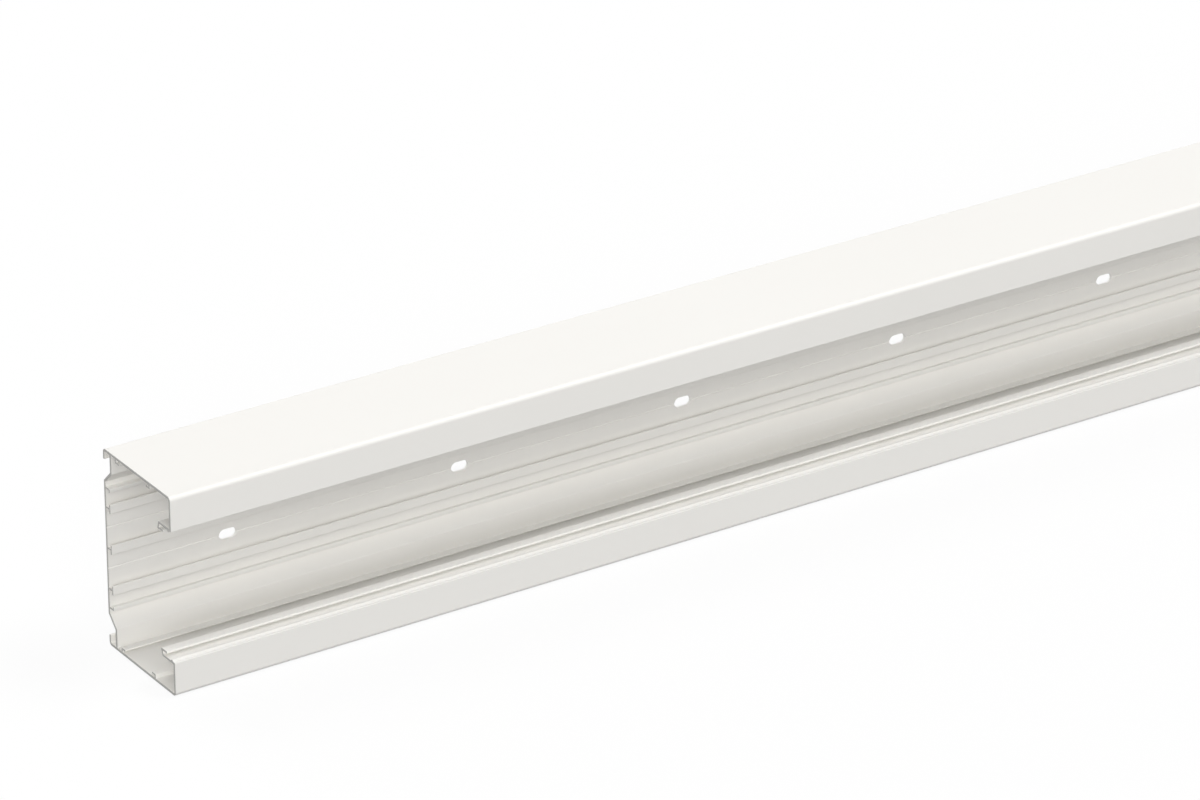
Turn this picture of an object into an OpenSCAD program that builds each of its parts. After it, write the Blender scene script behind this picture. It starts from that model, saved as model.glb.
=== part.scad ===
// Base of a wall-mounted cable trunking: one extruded profile, open at the front for a clip-on cover.
// The profile is drawn with X as the depth from the wall and Y as the height.
// What stands at its lower edge is mirrored at the upper one.

/* [Trunking] */
// Length that the stock is cut to
length = 2000; // [500:50:3000]
// Height of the profile
height = 100; // [92:1:140]
// Depth of the profile, from the wall to the front
depth = 60; // [56:1:90]
// Thickness of the top, bottom and front walls
outer_wall = 1.3; // [1:0.1:1.6]
// Thickness of the back wall
back_wall = 1.3; // [1:0.1:2]
// Outer radius of the two front edges
edge_r = 2.2; // [1.8:0.1:4]
// Least radius in an inner corner
inner_r = 0.5; // [0.3:0.1:1]

/* [Edges that meet the wall] */
// Height of the lip that touches the wall
wall_lip_h = 5.5; // [3.5:0.1:7]
// Thickness of that lip
wall_lip_t = 1.2; // [0.9:0.1:1.8]
// Outer radius where that lip leaves the outer wall
wall_lip_r = 2; // [0.6:0.1:2.5]
// Height of the set-back strip of back wall behind the lip
recess_h = 10.2; // [9:0.1:13]
// Distance that the strip is set back from the wall
recess_d = 5.9; // [4:0.1:7]

/* [Rails on the back wall] */
// Spacing of the three middle rails
rail_pitch = 20.7; // [18:0.1:22]
// Distance from the wall to the face of a rail
rail_depth = 4.9; // [4:0.1:7]
// Height of a middle rail's head
rail_head = 4.7; // [3.6:0.1:6]
// Thickness of a rail
rail_t = 0.8; // [0.6:0.1:1.2]
// Gap from the sloping wall to an edge rail
edge_rail_gap = 3; // [2:0.1:4]
// Height of an edge rail's head
edge_rail_head = 1.9; // [1.4:0.1:3]
// Width of the drilling line scored between the rails
score_w = 0.9; // [0.4:0.1:1.2]
// Depth of the drilling line
score_d = 0.35; // [0.1:0.05:0.5]

/* [Clip channels in the top and bottom walls] */
// Depth of the rear hook from the wall
clip_rear = 11; // [9:0.5:14]
// Distance across the pair of hooks
clip_span = 31; // [24:0.5:34]
// Height of a hook above the wall's inner face
hook_h = 2.1; // [1.6:0.1:3]
// Reach of a hook over the channel
hook_reach = 3.4; // [1.8:0.1:4]
// Thickness of a hook
hook_t = 0.9; // [0.6:0.1:1]

/* [Cover seats on the front] */
// Height of a front flange, up to the groove behind its edge
flange_h = 17.1; // [13:0.1:20]
// Depth of the slanted seat for the cover's edge
seat_d = 3; // [2:0.1:4]
// Rise of that seat
seat_rise = 0.9; // [0.7:0.1:2]
// Width of the ridge's back slope
ridge_w = 0.9; // [0.5:0.1:1.5]
// Radius of the seat's front edge and of its ridge
seat_r = 0.25; // [0.1:0.05:0.4]
// Width of the bead along the seat's front edge
bead_w = 1; // [0.8:0.1:1.4]
// Width of the fine groove behind the bead
bead_groove_w = 0.4; // [0.2:0.05:0.6]
// Depth of that groove
bead_groove_d = 0.2; // [0.1:0.05:0.3]
// Distance from the front face to the back of the cover lip
lip_setback = 12.2; // [10:0.1:14]
// Height of the cover lip above the groove
lip_rise = 3; // [2.6:0.1:5]
// Reach of the cover lip over the groove
lip_reach = 5.2; // [3:0.1:6]
// Thickness of the groove's walls and lip
lip_t = 1.1; // [0.8:0.1:1.3]

/* [Fixing slots] */
// Spacing of the slots along the length
slot_pitch = 125; // [60:5:250]
// Length of a slot
slot_l = 9; // [7:0.5:14]
// Width of a slot
slot_w = 5; // [3:0.5:6]

/* [Hidden] */
$fn = 48;
// Spare length of a cutter past each face
spare = 1;
mid_z = height / 2;
// The back wall slopes at 45 degrees from its set-back strip out to the wall
slope_end_z = recess_h + recess_d;
edge_rail_z = slope_end_z + edge_rail_gap;
slot_z = mid_z - rail_pitch / 2;
slot_count = max(1, floor(length / slot_pitch));
clip_front = clip_rear + clip_span;

// Bar of one thickness between two points, with rounded ends
module bar(from, to, t) {
    run = to - from;
    translate(from)
        rotate(atan2(run[1], run[0]))
            translate([0, -t / 2])
                square([norm(run), t]);
    for (end = [from, to])
        translate(end)
            circle(d = t);
}

// Bar that follows a line of points and is rounded at its bends
module bent_bar(points, t) {
    for (i = [1 : len(points) - 1])
        bar(points[i - 1], points[i], t);
}

// Wedge whose corners are rounded about three given centres
module rounded_wedge(centres, r) {
    polygon(centres);
    bent_bar(concat(centres, [centres[0]]), 2 * r);
}

// Upright block of a given width and height, whose lower left and lower right corners are rounded
module rounded_block(w, h, r_left, r_right) {
    difference() {
        square([w, h]);
        corner_waste(r_left);
        translate([w, 0])
            mirror([1, 0])
                corner_waste(r_right);
    }
}

// What is cut from a square corner at the origin to round it
module corner_waste(r) {
    difference() {
        square(r);
        translate([r, r])
            circle(r);
    }
}

// Bottom wall, the lip that meets the wall, and the front wall with its edge radius
module outer_shell() {
    front_h = flange_h - seat_r;
    inner_w = depth - outer_wall - wall_lip_t;
    inner_edge_r = max(edge_r - outer_wall, inner_r);
    difference() {
        rounded_block(depth, front_h, wall_lip_r, edge_r);
        translate([wall_lip_t, outer_wall])
            rounded_block(inner_w, front_h, inner_r, inner_edge_r);
        translate([-spare, wall_lip_h - wall_lip_t / 2])
            square([spare + wall_lip_t + inner_r, front_h]);
    }
    translate([wall_lip_t / 2, wall_lip_h - wall_lip_t / 2])
        circle(d = wall_lip_t);
}

// Middle line of the back wall, from the bottom wall to where its slope ends
function back_line() =
    let (half_t = back_wall / 2, shift = half_t * tan(22.5))
    [
        [recess_d + half_t, outer_wall / 2],
        [recess_d + half_t, recess_h + shift],
        [half_t, slope_end_z + shift],
    ];

// The same line from the other end of the profile, in the reverse order
function mirrored(points) = [
    for (i = [len(points) - 1 : -1 : 0])
        [points[i][0], height - points[i][1]]
];

// Notch of a given width and depth, cut into a face at the origin that looks along X
module notch(w, d) {
    half_w = w / 2;
    polygon([[spare, half_w], [0, half_w], [-d, 0], [0, -half_w], [spare, -half_w]]);
}

// Whole back wall, with its two slopes and the drilling lines between the rails
module back_section() {
    lower_line = back_line();
    difference() {
        bent_bar(concat(lower_line, mirrored(lower_line)), back_wall);
        for (side = [-1, 1])
            translate([back_wall, mid_z + side * rail_pitch / 2])
                notch(score_w, score_d);
    }
}

// Hooks of a clip channel, turned towards each other
module clip_channel() {
    head_z = outer_wall + hook_h - hook_t / 2;
    for (side = [[clip_rear, 1], [clip_front, -1]]) {
        stem_d = side[0] + side[1] * hook_t / 2;
        tip_d = side[0] + side[1] * (hook_reach - hook_t / 2);
        bent_bar([[stem_d, outer_wall / 2], [stem_d, head_z], [tip_d, head_z]], hook_t);
    }
}

// Fine groove across the slanted seat, which leaves a bead along its front edge
module bead_groove() {
    slope = atan2(seat_rise, seat_d - seat_r);
    translate([depth - seat_r, flange_h - seat_r])
        rotate(90 - slope)
            translate([seat_r, bead_w - seat_r])
                notch(bead_groove_w, bead_groove_d);
}

// Slanted seat on top of the front flange, and the groove and lip that hold the cover
module cover_seat() {
    floor_z = flange_h - lip_t / 2;
    wall_d = depth - lip_setback + lip_t / 2;
    lip_z = flange_h + lip_rise - lip_t / 2;
    lip_d = depth - lip_setback + lip_reach - lip_t / 2;
    difference() {
        rounded_wedge([
            [depth - seat_r, flange_h - seat_r],
            [depth - seat_d, flange_h + seat_rise - seat_r],
            [depth - seat_d - ridge_w + seat_r, floor_z],
        ], seat_r);
        bead_groove();
    }
    bent_bar([
        [depth - outer_wall / 2, floor_z],
        [wall_d, floor_z],
        [wall_d, lip_z],
        [lip_d, lip_z],
    ], lip_t);
}

// Rail near an edge of the back wall, with its head turned towards the middle
module edge_rail() {
    stem_z = edge_rail_z + rail_t / 2;
    head_d = rail_depth - rail_t / 2;
    tip_z = edge_rail_z + edge_rail_head - rail_t / 2;
    bent_bar([[back_wall / 2, stem_z], [head_d, stem_z], [head_d, tip_z]], rail_t);
}

// Rail with a head on both sides
module middle_rail() {
    head_d = rail_depth - rail_t / 2;
    head_z = (rail_head - rail_t) / 2;
    bar([back_wall / 2, 0], [head_d, 0], rail_t);
    bar([head_d, -head_z], [head_d, head_z], rail_t);
}

// What stands at the lower edge of the profile, apart from the back wall
module half_profile() {
    outer_shell();
    clip_channel();
    cover_seat();
    edge_rail();
}

// Section of the trunking
module profile() {
    back_section();
    half_profile();
    translate([0, height])
        mirror([0, 1])
            half_profile();
    for (place = [-1, 0, 1])
        translate([0, mid_z + place * rail_pitch])
            middle_rail();
}

// Cutter for one fixing slot, along the profile's depth and long in the direction of the length
module slot_cutter() {
    half_run = (slot_l - slot_w) / 2;
    for (end = [-half_run, half_run])
        translate([end, 0, 0])
            rotate([90, 0, 0])
                cylinder(h = back_wall + 2 * spare, d = slot_w);
    translate([-half_run, -back_wall - 2 * spare, -slot_w / 2])
        cube([2 * half_run, back_wall + 2 * spare, slot_w]);
}

module trunking_base() {
    color("ivory")
        difference() {
            translate([-length / 2, depth / 2, 0])
                mirror([0, 1, 0])
                    rotate([90, 0, 90])
                        linear_extrude(length)
                            profile();
            for (i = [0 : slot_count - 1])
                translate([(i - (slot_count - 1) / 2) * slot_pitch, depth / 2 + spare, slot_z])
                    slot_cutter();
        }
}

trunking_base();
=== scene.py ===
import math
from types import SimpleNamespace

import bpy
import numpy as np
from mathutils import Matrix, Vector


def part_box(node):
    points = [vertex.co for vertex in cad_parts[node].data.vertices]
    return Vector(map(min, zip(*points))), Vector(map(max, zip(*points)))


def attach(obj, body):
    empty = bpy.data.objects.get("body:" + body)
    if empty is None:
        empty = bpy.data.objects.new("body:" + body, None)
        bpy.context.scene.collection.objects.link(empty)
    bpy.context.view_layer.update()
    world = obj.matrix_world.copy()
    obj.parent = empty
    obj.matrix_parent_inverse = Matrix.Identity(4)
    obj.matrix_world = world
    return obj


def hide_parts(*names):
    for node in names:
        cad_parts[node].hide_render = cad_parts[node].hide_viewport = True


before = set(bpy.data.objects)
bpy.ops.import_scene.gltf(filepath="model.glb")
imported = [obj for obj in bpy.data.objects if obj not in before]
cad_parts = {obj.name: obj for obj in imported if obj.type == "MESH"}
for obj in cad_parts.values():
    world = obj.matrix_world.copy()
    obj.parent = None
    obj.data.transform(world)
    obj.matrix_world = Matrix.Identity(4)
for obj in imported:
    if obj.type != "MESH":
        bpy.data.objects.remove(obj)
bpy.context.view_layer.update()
baseLow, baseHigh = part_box("trunking_base")
mm = 0.001
print("frame loaded, trunking runs from", tuple(baseLow), "to", tuple(baseHigh))

# The section, in millimetres and degrees: depth is counted from the wall, height from the underside
trunking = {
    "outerWall": 1.3, "backWall": 1.3, "edgeR": 2.2, "innerR": 0.5,
    "wallLipH": 5.5, "wallLipT": 1.2, "wallLipR": 2.0,       # lips that touch the wall
    "recessH": 10.2, "recessD": 5.9, "bendR": 0.65,          # set-back strips of the back wall
    "slopeAngle": 45.0,                                      # slopes from the strips out to the wall
    "railPitch": 20.7, "railDepth": 4.9, "railHead": 4.7, "railT": 0.8,
    "edgeRailGap": 3.0, "edgeRailHead": 1.9,                 # L rails beside the slopes
    "scoreW": 0.9, "scoreD": 0.35,                           # drilling lines between the rails
    "clipRear": 11.0, "clipSpan": 31.0,                      # clip channels, over both their hooks
    "hookH": 2.1, "hookReach": 3.4, "hookT": 0.9,
    "flangeH": 17.1, "seatD": 2.65, "seatRise": 0.84, "ridgeW": 1.25, "seatR": 0.25,
    "ledgeD": 1.3, "ledgeRise": 0.17, "ledgeR": 0.1,         # ledge in front of the slanted seat
    "lipSetback": 12.2, "lipRise": 2.85, "lipReach": 5.2, "lipT": 1.1, "lipEdgeR": 0.2,
    "lipLean": 1.0, "grooveR": 0.8,                          # lean of the lip's wall, radius at its foot
    "slotPitch": 125.0, "slotL": 9.0, "slotW": 5.0,
    "rootR": 0.15,                                           # fillet where a rib leaves its wall
    "tipShare": 0.49,                                        # radius of a free edge over its thickness
    "sawChamfer": 0.12, "slotChamfer": 0.12,                 # broken edges of the cut ends and the slots
    "slotMargin": 3.0,                                       # plain wall kept on both sides of a slot
    "arcSteps": 2, "arcGrowth": 4.5,                         # least steps of an arc, more per sqrt(r)
    "slotStep": 15,                                          # between the points round a slot's ends
    "sharpAngle": 28,                                        # edges that turn by more stay sharp
}
t = SimpleNamespace(**trunking)                              # the same values, read as t.name
t.length = (baseHigh.x - baseLow.x) / mm
t.depth = (baseHigh.y - baseLow.y) / mm
t.height = (baseHigh.z - baseLow.z) / mm
t.mid = t.height / 2
t.slopeEnd = t.recessH + t.recessD / math.tan(math.radians(t.slopeAngle))
t.slotZ = t.mid - t.railPitch / 2                            # the slots lie on the lower drilling line
t.slotCount = max(1, math.floor(t.length / t.slotPitch))


def railCorners(z):
    # T rail at height z: under the stem, round the head, back over the stem
    face, neck, tip = t.railDepth, t.railDepth - t.railT, t.railT * t.tipShare
    return [
        (t.backWall, z - t.railT / 2, t.rootR), (neck, z - t.railT / 2, t.rootR),
        (neck, z - t.railHead / 2, tip), (face, z - t.railHead / 2, tip),
        (face, z + t.railHead / 2, tip), (neck, z + t.railHead / 2, tip),
        (neck, z + t.railT / 2, t.rootR), (t.backWall, z + t.railT / 2, t.rootR),
    ]


def hookCorners(side, turn):
    # hook of a clip channel, from its back to the foot under its head; turn is the way the head points
    top, tip = t.outerWall + t.hookH, t.hookT * t.tipShare
    neck, end = side + turn * t.hookT, side + turn * t.hookReach
    return [
        (side, t.outerWall, t.rootR), (side, top, t.hookT / 2),
        (end, top, tip), (end, top - t.hookT, tip),
        (neck, top - t.hookT, t.rootR), (neck, t.outerWall, t.rootR),
    ]


def coverSeatCorners():
    # ledge, slanted seat, groove and cover lip on the lower flange, from the front face to behind the lip;
    # the lip's wall leans back by lipLean from the underside of the groove to the top of the lip
    front, lipTop = t.depth, t.flangeH + t.lipRise
    wallBack = t.depth - t.lipSetback
    wallFront, lipEnd = wallBack + t.lipT, wallBack + t.lipReach
    lean = t.lipLean / (t.lipRise + t.lipT)                  # for each millimetre of height
    return [
        (front, t.flangeH, t.seatR),
        (front - t.ledgeD, t.flangeH + t.ledgeRise, t.ledgeR),
        (front - t.seatD, t.flangeH + t.seatRise, t.seatR),
        (front - t.seatD - t.ridgeW, t.flangeH, t.rootR),
        (wallFront + lean * t.lipRise, t.flangeH, t.grooveR),
        (wallFront + lean * t.lipT, lipTop - t.lipT, t.rootR),
        (lipEnd, lipTop - t.lipT, t.lipEdgeR), (lipEnd, lipTop, t.lipEdgeR),
        (wallBack, lipTop, t.lipT / 2), (wallBack + t.lipLean, t.flangeH - t.lipT, t.lipT / 2),
    ]


def halfCorners():
    # lower half of the section as rows of depth, height and radius,
    # from the wall side down, round the front and up the inside to the middle rail
    kink = t.backWall * math.tan(math.radians(t.slopeAngle / 2))     # rise of the slope's inner corners
    inside, lipTip = t.depth - t.outerWall, t.wallLipT * t.tipShare
    insideR = max(t.edgeR - t.outerWall, t.innerR)
    stripFace = t.recessD + t.backWall
    edgeRail = t.slopeEnd + t.edgeRailGap
    railTip = t.railT * t.tipShare
    neck = t.railDepth - t.railT
    wallLip = [
        (0, t.slopeEnd, t.bendR), (t.recessD, t.recessH, t.bendR), (t.recessD, t.outerWall, t.rootR),
        (t.wallLipT, t.outerWall, t.innerR), (t.wallLipT, t.wallLipH, lipTip), (0, t.wallLipH, lipTip),
        (0, 0, t.wallLipR),
    ]
    flange = [
        (t.depth, 0, t.edgeR), *coverSeatCorners(),
        (inside, t.flangeH - t.lipT, t.rootR), (inside, t.outerWall, insideR),
    ]
    clipChannel = hookCorners(t.clipRear + t.clipSpan, -1) + hookCorners(t.clipRear, 1)[::-1]
    backInside = [
        (stripFace, t.outerWall, t.rootR), (stripFace, t.recessH + kink, t.bendR),
        (t.backWall, t.slopeEnd + kink, t.bendR),
        (t.backWall, edgeRail, t.rootR), (t.railDepth, edgeRail, t.railT / 2),
        (t.railDepth, edgeRail + t.edgeRailHead, railTip), (neck, edgeRail + t.edgeRailHead, railTip),
        (neck, edgeRail + t.railT, t.rootR), (t.backWall, edgeRail + t.railT, t.rootR),
    ]
    score = [
        (t.backWall, t.slotZ - t.scoreW / 2, 0), (t.backWall - t.scoreD, t.slotZ, 0),
        (t.backWall, t.slotZ + t.scoreW / 2, 0),
    ]
    lowerRail, middleRail = railCorners(t.mid - t.railPitch), railCorners(t.mid)
    halfRail = middleRail[:len(middleRail) // 2]
    return wallLip + flange + clipChannel + backInside + lowerRail + score + halfRail


def roundCorners(corners):
    # each corner becomes an arc tangent to both its sides, about a centre on the bisector at
    # r / cos(turn / 2); returns the points, their outward normals and the index where each corner starts
    place, radius = corners[:, :2], corners[:, 2]
    ahead = np.roll(place, -1, axis=0) - place
    ahead /= np.linalg.norm(ahead, axis=1)[:, None]
    behind = np.roll(ahead, 1, axis=0)
    cross = behind[:, 0] * ahead[:, 1] - behind[:, 1] * ahead[:, 0]
    turn = np.arctan2(cross, (behind * ahead).sum(axis=1))
    bend = np.sign(turn)                                     # +1 on an outer corner
    outward = np.stack([behind[:, 1], -behind[:, 0]], axis=1)        # right-hand side of the way in
    startAngle = np.arctan2(outward[:, 1], outward[:, 0])
    midAngle = startAngle + turn / 2
    bisector = np.stack([np.cos(midAngle), np.sin(midAngle)], axis=1)
    centre = place - bisector * (bend * radius / np.cos(turn / 2))[:, None]
    steps = np.where(radius > 0, np.round(t.arcSteps + t.arcGrowth * np.sqrt(radius)), 0).astype(int)
    starts = np.concatenate([[0], np.cumsum(steps + 1)[:-1]])
    which = np.repeat(np.arange(len(corners)), steps + 1)
    share = (np.arange(len(which)) - starts[which]) / np.maximum(steps[which], 1)
    share = np.where(steps[which] == 0, 0.5, share)          # a sharp corner is one point, halfway round
    angle = startAngle[which] + share * turn[which]
    normal = np.stack([np.cos(angle), np.sin(angle)], axis=1)
    points = centre[which] + normal * (bend * radius)[which][:, None]
    return points, normal, starts


def slotRing(radius):
    # obround round a slot's middle, from its right-hand end upwards: two half circles of this radius,
    # set apart by the slot's straight run, with points where the drilling line meets them
    meet = math.degrees(math.asin(t.scoreW / 2 / radius))
    quarter = np.append(meet, np.arange(t.slotStep, 90 + t.slotStep, t.slotStep))
    angle = np.concatenate([[0], quarter, 180 - quarter[::-1], [180], 180 + quarter, 360 - quarter[::-1]])
    side = np.where(np.arange(len(angle)) <= len(quarter), 1, -1)
    side[-len(quarter):] = 1
    angle = np.radians(angle)
    halfRun = (t.slotL - t.slotW) / 2
    return np.stack([side * halfRun + radius * np.cos(angle), radius * np.sin(angle)], axis=1)


def slotRings(slotX):
    # four rings down each slot: inner face, below its broken edge, above the outer one, outer face
    wide, tight = slotRing(t.slotW / 2 + t.slotChamfer), slotRing(t.slotW / 2)
    ringSize = len(wide)
    faceDepth = np.full(ringSize, t.backWall)
    faceDepth[[0, ringSize // 2]] -= t.scoreD                # the rim dips into the drilling line
    below = t.backWall - t.scoreD - t.slotChamfer
    depths = [faceDepth, np.full(ringSize, below), np.full(ringSize, t.slotChamfer), np.zeros(ringSize)]
    rings = np.stack([
        np.stack([ring[:, 0], depth, ring[:, 1] + t.slotZ], axis=1)
        for ring, depth in zip([wide, tight, tight, wide], depths)
    ])
    return rings[None] + np.stack([slotX, 0 * slotX, 0 * slotX], axis=1)[:, None, None]


def slotFaces(ring, left, right, s, o):
    # one slot's tunnel and the wall round it, between the stations left and right of it;
    # s and o are the rows of the drilling line and of the outer face at the slot's height
    leftEnd = ring.shape[1] // 2
    around = np.roll(ring, -1, axis=1)
    tunnel = np.stack([ring[:-1], around[:-1], around[1:], ring[1:]], axis=-1).reshape(-1, 4)
    face, back = ring[0], ring[-1]
    innerSide = [
        [left[s + 1], *face[leftEnd - 1:0:-1], right[s + 1], right[s + 2], left[s + 2]],
        [left[s - 2], right[s - 2], right[s - 1], *face[:leftEnd:-1], left[s - 1]],
        [left[s - 1], face[leftEnd + 1], face[leftEnd], left[s]],
        [left[s], face[leftEnd], face[leftEnd - 1], left[s + 1]],
        [face[-1], right[s - 1], right[s], face[0]],
        [face[0], right[s], right[s + 1], face[1]],
    ]
    overTop, under = back[leftEnd::-1], np.append(back[0], back[:leftEnd - 1:-1])
    outerSide = [                                            # turned round, as it is seen from behind
        [left[o], *overTop, right[o], right[o - 1], left[o - 1]][::-1],
        [left[o + 1], right[o + 1], right[o], *under, left[o]][::-1],
    ]
    return tunnel.tolist() + innerSide + outerSide


def buildTrunking():
    # the rounded section carried along the length, with the slots let into the back wall
    upper = np.array(halfCorners())[::-1] * [1, -1, 1] + [0, t.height, 0]
    corners = np.concatenate([[(0, t.slotZ, 0)], halfCorners(), upper])
    outline, normal, starts = roundCorners(corners)
    count = len(outline)
    outerRow, scoreRow = starts[np.isclose(corners[:, 1], t.slotZ)]  # rows that the slots break

    # stations along the length: the cut ends, inset by their broken edge, and both sides of every slot
    slotX = (np.arange(t.slotCount) - (t.slotCount - 1) / 2) * t.slotPitch
    reach = t.slotL / 2 + t.slotMargin
    half = t.length / 2
    nearEnd, farEnd = [-half, -half + t.sawChamfer], [half - t.sawChamfer, half]
    stationX = np.concatenate([nearEnd, (slotX[:, None] + [-reach, reach]).ravel(), farEnd])
    inset = np.zeros(len(stationX))
    inset[[0, -1]] = t.sawChamfer
    section = outline[None] - inset[:, None, None] * normal[None]
    along = np.broadcast_to(stationX[:, None], section.shape[:2])
    grid = np.stack([along, section[..., 0], section[..., 1]], axis=-1)
    rings = slotRings(slotX)
    vertices = np.concatenate([grid.reshape(-1, 3), rings.reshape(-1, 3)]) * mm
    vertices[:, 1] = baseHigh.y - vertices[:, 1]             # depth runs from the wall to the front
    vertices[:, 2] += baseLow.z

    # quads between neighbouring stations, left out round the slots, which have faces of their own
    index = np.arange(len(stationX) * count).reshape(len(stationX), count)
    ringIndex = index.size + np.arange(rings[..., 0].size).reshape(rings.shape[:3])
    nextRow = np.roll(index, -1, axis=1)
    quads = np.stack([index[:-1], index[1:], nextRow[1:], nextRow[:-1]], axis=-1)
    atSlot = len(nearEnd) + 2 * np.arange(t.slotCount)       # the station to the left of each slot
    broken = [outerRow - 1, outerRow, scoreRow - 2, scoreRow - 1, scoreRow, scoreRow + 1]
    keep = np.ones(quads.shape[:2], bool)
    keep[np.ix_(atSlot, np.array(broken) % count)] = False
    faces = quads[keep].tolist()
    for station, ring in zip(atSlot, ringIndex):
        faces += slotFaces(ring, index[station], index[station + 1], scoreRow, outerRow)
    faces += [index[0].tolist(), index[-1, ::-1].tolist()]   # the two cut ends

    mesh = bpy.data.meshes.new("trunkingBody")
    mesh.from_pydata(vertices.tolist(), [], faces)
    mesh.polygons.foreach_set("use_smooth", np.ones(len(mesh.polygons), bool))
    centre = np.empty(len(mesh.polygons) * 3, np.float32)
    mesh.polygons.foreach_get("center", centre)
    sawnShaded = np.abs(centre[::3]) > (half - t.sawChamfer) * mm  # cut ends and their broken edges, which take the painted shade
    mesh.polygons.foreach_set("material_index", sawnShaded.astype(np.int32))
    mesh.set_sharp_from_angle(angle=math.radians(t.sharpAngle))
    mesh.validate()
    piece = bpy.data.objects.new("trunkingBody", mesh)
    bpy.context.scene.collection.objects.link(piece)
    evenShade = piece.modifiers.new("evenShade", "WEIGHTED_NORMAL")  # flats stay flat beside their radii
    evenShade.keep_sharp = True
    print("trunking:", count, "points round the section,", len(mesh.polygons), "faces")
    return piece


pvc = {
    "ior": 1.5,
    "skin": {                                                # satin off-white, with a faint drift
        "Light": (0.925, 0.911, 0.876, 1), "Dark": (0.905, 0.89, 0.854, 1),
        "Rough Low": 0.36, "Rough High": 0.46,
    },
    "sawnShaded": {                                                # painted shade: a darker grey than the skin so the cut ends read dark, and rougher where it was cut
        "Light": (0.55, 0.543, 0.522, 1), "Dark": (0.5, 0.493, 0.472, 1),
        "Rough Low": 0.55, "Rough High": 0.7,
    },
    "lineScale": (1.6, 520, 520),                            # die lines per metre, along and across
    "lineNoise": {"Scale": 1, "Detail": 3, "Roughness": 0.6},
    "cloudNoise": {"Scale": 11.0, "Detail": 2},              # drift of the tint, per metre
    "grainNoise": {"Scale": 2400.0, "Detail": 1},            # fine matt grain, per metre
    "linesInTint": 0.3, "grainInRelief": 0.35,               # shares, beside the drift and the die lines
    "roughSpan": {"From Min": 0.3, "From Max": 0.7},         # noise from the least to the most roughness
    "skinBump": {"Strength": 0.05, "Distance": 0.0002},
    "sawMarks": 1400.0,                                      # marks of the saw per metre
    "sawScatter": {"Distortion": 1.2, "Detail": 2},
    "sawBump": {"Strength": 0.7, "Distance": 0.00005},
}
mixSockets = {"FLOAT": (2, 3, 0), "RGBA": (6, 7, 2)}         # A, B and result of a Mix node of each kind


def addNode(tree, kind, values=None, **settings):
    node = tree.nodes.new(kind)
    for name, value in settings.items():
        setattr(node, name, value)
    for socket, value in (values or {}).items():
        node.inputs[socket].default_value = value
    return node


def addMix(tree, kind, a, b, share):
    # mix of the outputs a and b; share, the part that b takes, is a number or an output too
    node = addNode(tree, "ShaderNodeMix", data_type=kind)
    socketA, socketB, result = mixSockets[kind]
    tree.links.new(a, node.inputs[socketA])
    tree.links.new(b, node.inputs[socketB])
    if isinstance(share, float):
        node.inputs["Factor"].default_value = share
    else:
        tree.links.new(share, node.inputs["Factor"])
    return node.outputs[result]


def addBump(tree, shader, height, values):
    bump = addNode(tree, "ShaderNodeBump", values)
    tree.links.new(height, bump.inputs["Height"])
    tree.links.new(bump.outputs["Normal"], shader.inputs["Normal"])


def grainGroup():
    # tint, roughness and relief of extruded plastic, from die lines along X, a slow drift and a fine grain
    tree = bpy.data.node_groups.new("extrudedGrain", "ShaderNodeTree")
    face = tree.interface
    face.new_socket("Vector", in_out="INPUT", socket_type="NodeSocketVector")
    for name in ("Light", "Dark"):
        face.new_socket(name, in_out="INPUT", socket_type="NodeSocketColor")
    for name in ("Rough Low", "Rough High"):
        face.new_socket(name, in_out="INPUT", socket_type="NodeSocketFloat")
    face.new_socket("Tint", in_out="OUTPUT", socket_type="NodeSocketColor")
    for name in ("Roughness", "Relief"):
        face.new_socket(name, in_out="OUTPUT", socket_type="NodeSocketFloat")
    link = tree.links.new
    take, give = addNode(tree, "NodeGroupInput"), addNode(tree, "NodeGroupOutput")
    stretch = addNode(tree, "ShaderNodeMapping", {"Scale": pvc["lineScale"]})
    lines = addNode(tree, "ShaderNodeTexNoise", pvc["lineNoise"])
    cloud = addNode(tree, "ShaderNodeTexNoise", pvc["cloudNoise"])
    grain = addNode(tree, "ShaderNodeTexNoise", pvc["grainNoise"])
    link(take.outputs["Vector"], stretch.inputs["Vector"])
    link(stretch.outputs["Vector"], lines.inputs["Vector"])
    link(take.outputs["Vector"], cloud.inputs["Vector"])
    link(take.outputs["Vector"], grain.inputs["Vector"])
    drift = addMix(tree, "FLOAT", cloud.outputs["Fac"], lines.outputs["Fac"], pvc["linesInTint"])
    tint = addMix(tree, "RGBA", take.outputs["Dark"], take.outputs["Light"], drift)
    relief = addMix(tree, "FLOAT", lines.outputs["Fac"], grain.outputs["Fac"], pvc["grainInRelief"])
    roughness = addNode(tree, "ShaderNodeMapRange", pvc["roughSpan"])
    link(lines.outputs["Fac"], roughness.inputs["Value"])
    link(take.outputs["Rough Low"], roughness.inputs["To Min"])
    link(take.outputs["Rough High"], roughness.inputs["To Max"])
    link(tint, give.inputs["Tint"])
    link(roughness.outputs["Result"], give.inputs["Roughness"])
    link(relief, give.inputs["Relief"])
    return tree


def startMaterial(name, grain, values):
    # a Principled finish whose tint and roughness come from the grain group
    material = bpy.data.materials.new(name)
    material.use_nodes = True
    tree = material.node_tree
    shader = tree.nodes["Principled BSDF"]
    shader.inputs["IOR"].default_value = pvc["ior"]
    where = addNode(tree, "ShaderNodeTexCoord")
    surface = addNode(tree, "ShaderNodeGroup", values, node_tree=grain)
    link = tree.links.new
    link(where.outputs["Object"], surface.inputs["Vector"])
    link(surface.outputs["Tint"], shader.inputs["Base Color"])
    link(surface.outputs["Roughness"], shader.inputs["Roughness"])
    return material, tree, shader, where, surface


def extrudedPvc(grain):
    # smooth satin skin of the extrusion
    material, tree, shader, _, surface = startMaterial("extrudedPvc", grain, pvc["skin"])
    addBump(tree, shader, surface.outputs["Relief"], pvc["skinBump"])
    return material


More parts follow.
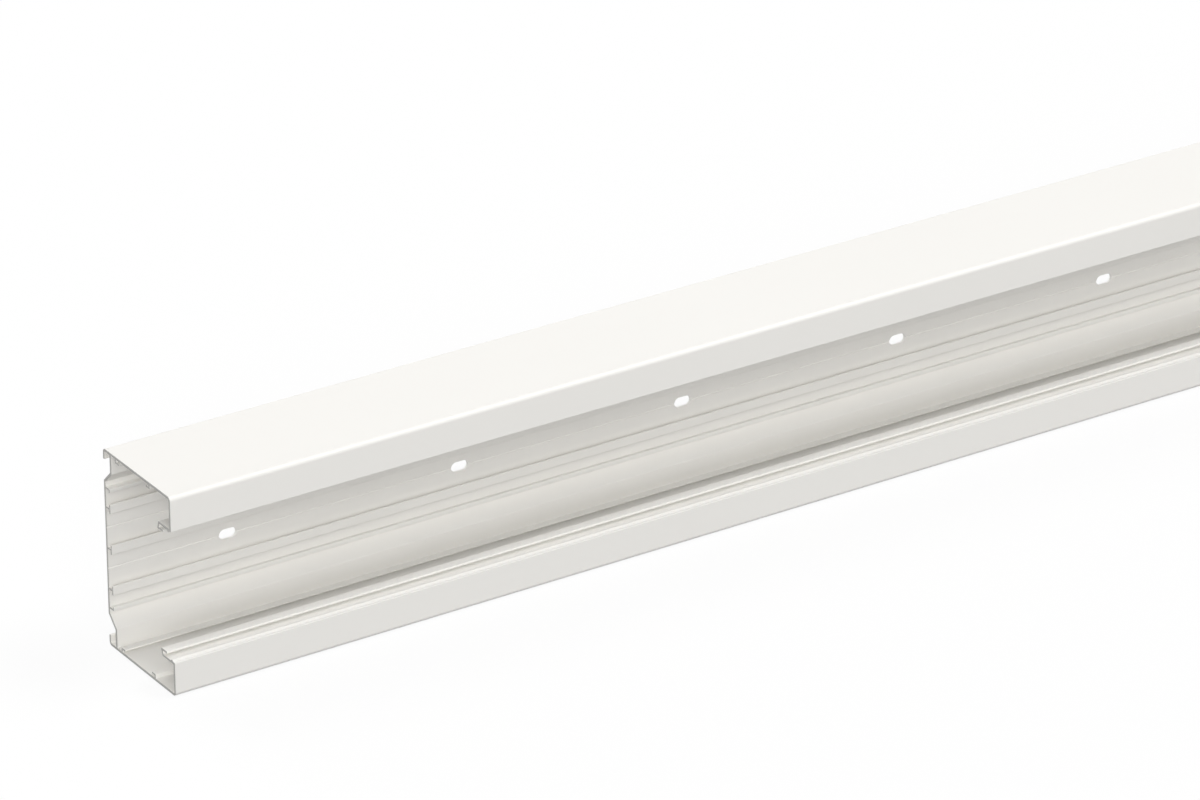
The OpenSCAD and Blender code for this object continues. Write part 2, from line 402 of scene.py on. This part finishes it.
def sawnShadedPvc(grain):
    # cut ends, with the fine marks of the saw slanting across the section; the phase of a diagonal wave is
    # 10 * scale * (x + y + z), so on a face across X it grows by 10 * scale * sqrt(2) radians a metre
    # its darker grey base colour is painted shade on the cut ends
    material, tree, shader, where, _ = startMaterial("sawnShadedPvc", grain, pvc["sawnShaded"])
    waveScale = pvc["sawMarks"] * 2 * math.pi / (10 * math.sqrt(2))
    marks = addNode(tree, "ShaderNodeTexWave", {"Scale": waveScale, **pvc["sawScatter"]},
                    wave_type="BANDS", bands_direction="DIAGONAL")
    tree.links.new(where.outputs["Object"], marks.inputs["Vector"])
    addBump(tree, shader, marks.outputs["Fac"], pvc["sawBump"])
    return material


piece = buildTrunking()
grain = grainGroup()
for finish in (extrudedPvc(grain), sawnShadedPvc(grain)):
    piece.data.materials.append(finish)
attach(piece, "root")
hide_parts("trunking_base")
print("finishes:", [m.name for m in piece.data.materials])

white = (1, 1, 1, 1)
studio = {
    "floorSize": 60.0, "floorDrop": 0.0003,                  # side and gap below the object, in metres
    "paperColour": (0.985, 0.985, 0.985, 1),                 # what the camera sees of the floor
    "bounceColour": (0.2, 0.2, 0.2, 1),                      # what the floor sends back to the object
    "floorShadow": 0.1,                                      # share of its own shading in what is seen
    "ambient": 0.37,
    "lamps": {                                               # azimuth, elevation, strength and spread
        "keyLamp": (-33, 22, 0.96, 24),
        "endLamp": (-60, 22, 0.36, 24),
        "frontLamp": (-10, 38, 0.31, 24),
        "lowLamp": (-10, 6, 0.3, 24),
        "sideLamp": (60, 55, 0.94, 24),
        "backLamp": (180, 60, 0.44, 24),
        "wallLamp": (180, 10, 0.95, 24),
    },
}


def lookBack(azimuth, elevation):
    # unit vector from the object towards a viewer or lamp, from two angles in degrees:
    # azimuth 0 stands in front, and elevation is counted from the horizon
    a, e = math.radians(azimuth), math.radians(elevation)
    return Vector((math.sin(a) * math.cos(e), -math.cos(a) * math.cos(e), math.sin(e)))


def whiteToCamera(tree, light, seen):
    # seen is what the camera, reflections and glass meet; light is what reaches the object
    path = addNode(tree, "ShaderNodeLightPath")
    first = addNode(tree, "ShaderNodeMath", operation="MAXIMUM")
    second = addNode(tree, "ShaderNodeMath", operation="MAXIMUM")
    pick = addNode(tree, "ShaderNodeMixShader")
    link = tree.links.new
    link(path.outputs["Is Camera Ray"], first.inputs[0])
    link(path.outputs["Is Glossy Ray"], first.inputs[1])
    link(first.outputs[0], second.inputs[0])
    link(path.outputs["Is Transmission Ray"], second.inputs[1])
    link(second.outputs[0], pick.inputs[0])
    link(light, pick.inputs[1])
    link(seen, pick.inputs[2])
    return pick.outputs[0]


def buildAir():
    # even light from all round, and white where the camera looks past the floor
    world = bpy.data.worlds.new("studioAir")
    bpy.context.scene.world = world
    world.use_nodes = True
    tree = world.node_tree
    tree.nodes.clear()
    ambient = addNode(tree, "ShaderNodeBackground", {"Color": white, "Strength": studio["ambient"]})
    bright = addNode(tree, "ShaderNodeBackground", {"Color": white, "Strength": 1})
    out = addNode(tree, "ShaderNodeOutputWorld")
    tree.links.new(whiteToCamera(tree, ambient.outputs[0], bright.outputs[0]), out.inputs["Surface"])


def whitePaper():
    # white to the camera with a little shading for the object's shadow, and grey in what it sends back
    paper = bpy.data.materials.new("whitePaper")
    paper.use_nodes = True
    tree = paper.node_tree
    tree.nodes.clear()
    matt = addNode(tree, "ShaderNodeBsdfDiffuse", {"Color": studio["paperColour"]})
    bounce = addNode(tree, "ShaderNodeBsdfDiffuse", {"Color": studio["bounceColour"]})
    bright = addNode(tree, "ShaderNodeEmission", {"Color": white, "Strength": 1})
    shaded = addNode(tree, "ShaderNodeMixShader", {0: studio["floorShadow"]})
    out = addNode(tree, "ShaderNodeOutputMaterial")
    tree.links.new(bright.outputs[0], shaded.inputs[1])
    tree.links.new(matt.outputs[0], shaded.inputs[2])
    tree.links.new(whiteToCamera(tree, bounce.outputs[0], shaded.outputs[0]), out.inputs["Surface"])
    return paper


def buildFloor():
    square = np.array([(-1, -1), (1, -1), (1, 1), (-1, 1)]) * studio["floorSize"] / 2
    mesh = bpy.data.meshes.new("studioFloor")
    mesh.from_pydata([(x, y, baseLow.z - studio["floorDrop"]) for x, y in square], [], [(0, 1, 2, 3)])
    mesh.materials.append(whitePaper())
    floor = bpy.data.objects.new("studioFloor", mesh)
    bpy.context.scene.collection.objects.link(floor)


def hangLamps():
    for name, (azimuth, elevation, strength, spread) in studio["lamps"].items():
        lamp = bpy.data.lights.new(name, "SUN")
        lamp.energy = strength
        lamp.angle = math.radians(spread)
        holder = bpy.data.objects.new(name, lamp)
        holder.rotation_euler = lookBack(azimuth, elevation).to_track_quat("Z", "Y").to_euler()
        bpy.context.scene.collection.objects.link(holder)
    print("studio lit by", list(studio["lamps"]))


view = {
    "azimuth": -33.23, "elevation": 26.056,
    "focalPixels": 6794.3, "imageWidth": 1200,               # focal length, in pixels of that width
    "sensor": 36.0,
    "corner": (-0.222955, -0.111139, -3.089565),             # near lower wall corner, in camera axes
    "farClip": 200.0,
}


def buildCamera():
    azimuth = math.radians(view["azimuth"])
    back = lookBack(view["azimuth"], view["elevation"])
    right = Vector((math.cos(azimuth), math.sin(azimuth), 0))
    turn = Matrix((right, back.cross(right), back)).transposed()
    data = bpy.data.cameras.new("studioCamera")
    data.sensor_width = view["sensor"]
    data.lens = view["focalPixels"] / view["imageWidth"] * view["sensor"]
    data.clip_end = view["farClip"]
    camera = bpy.data.objects.new("studioCamera", data)
    nearCorner = Vector((baseLow.x, baseHigh.y, baseLow.z))
    camera.matrix_world = Matrix.Translation(nearCorner - turn @ Vector(view["corner"])) @ turn.to_4x4()
    bpy.context.scene.collection.objects.link(camera)
    bpy.context.scene.camera = camera
    print("camera at", tuple(round(c, 3) for c in camera.location))


bpy.context.scene.view_settings.view_transform = "Standard"
buildAir()
buildFloor()
hangLamps()
buildCamera()
